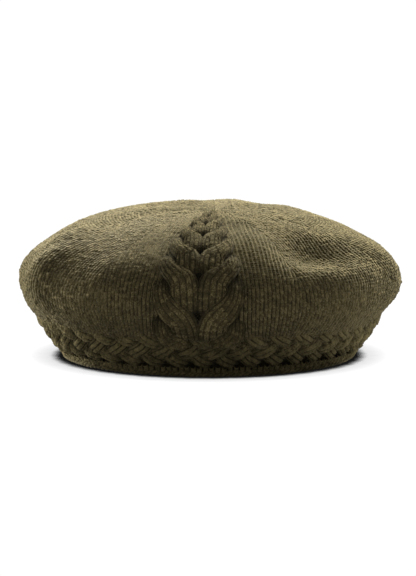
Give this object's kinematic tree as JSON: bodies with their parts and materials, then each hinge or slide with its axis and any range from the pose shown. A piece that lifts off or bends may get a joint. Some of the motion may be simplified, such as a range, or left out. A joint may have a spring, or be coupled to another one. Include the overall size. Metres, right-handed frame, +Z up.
{
  "type": "knit beret",
  "caption": "Round slouchy knitted wool beret with a plain hollow crown, a rope cable up its front, a plaited headband and a rolled cast-on edge.",
  "frame": {"origin": "on the floor that the rolled edge rests on, in the middle of the beret's outline", "axes": "+Z up from the head opening to the crown; the cable at the front of the beret faces -Y; +X is to the right seen from the front"},
  "size_m": [0.2737, 0.2892, 0.1059],
  "materials": {
    "crown_yarn": "heathered wool stockinette, matt with a light fuzz",
    "cable_yarn": "heathered wool cable knitting, matt with a light fuzz",
    "band_yarn": "heathered wool in a knitted plait, matt with a light fuzz",
    "edge_yarn": "heathered wool cast-on edge, rolled, matt"
  },
  "bodies": {
    "root": {"crown": "crown_yarn", "cable_left_twist": "cable_yarn", "cable_right_twist": "cable_yarn", "headband": "band_yarn", "rolled_edge": "edge_yarn"}
  },
  "joints": []
}
